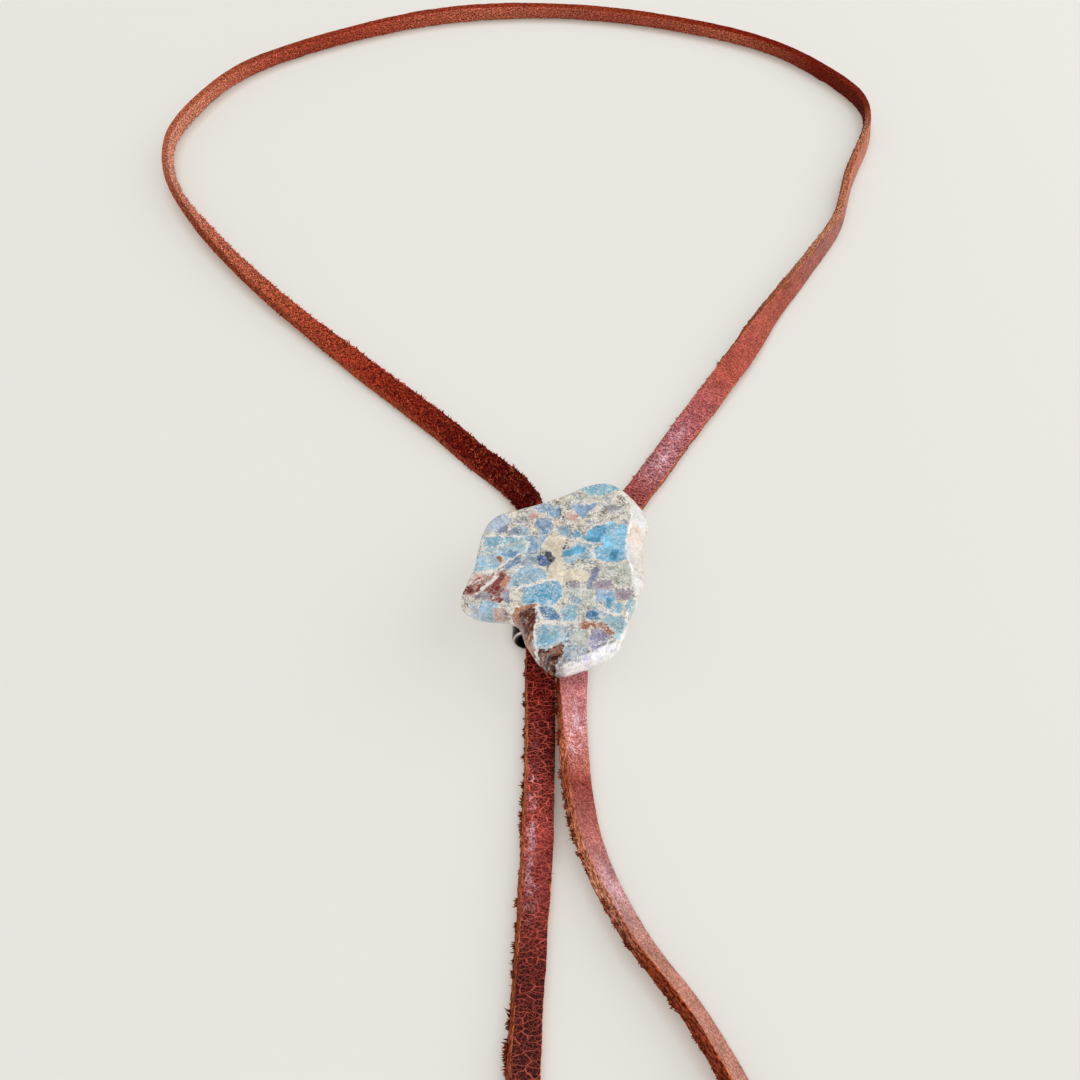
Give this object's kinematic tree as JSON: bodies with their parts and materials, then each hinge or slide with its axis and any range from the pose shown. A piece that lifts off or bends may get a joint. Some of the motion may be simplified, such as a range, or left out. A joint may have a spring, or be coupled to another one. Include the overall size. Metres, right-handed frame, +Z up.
{
  "type": "leather lariat necklace with a stone slide",
  "caption": "Lariat necklace of one flat leather lace, lying open: a neck loop, an oval metal slide under a polished stone slab, and two free tails.",
  "frame": {"origin": "on the surface the necklace lies on, at the middle of its outline", "axes": "+Z up from the surface, +Y along the necklace from the tails towards the back of the neck loop, +X to the right as seen with the tails nearest"},
  "size_m": [0.1967, 0.3399, 0.0125],
  "materials": {
    "lace_leather": "crinkled grain side, rough suede side",
    "polished_stone": "polished",
    "dark_metal": "glossy black"
  },
  "bodies": {
    "root": {"leather_lace": "lace_leather", "stone_slab": "polished_stone", "slide_sleeve": "dark_metal"}
  },
  "joints": []
}
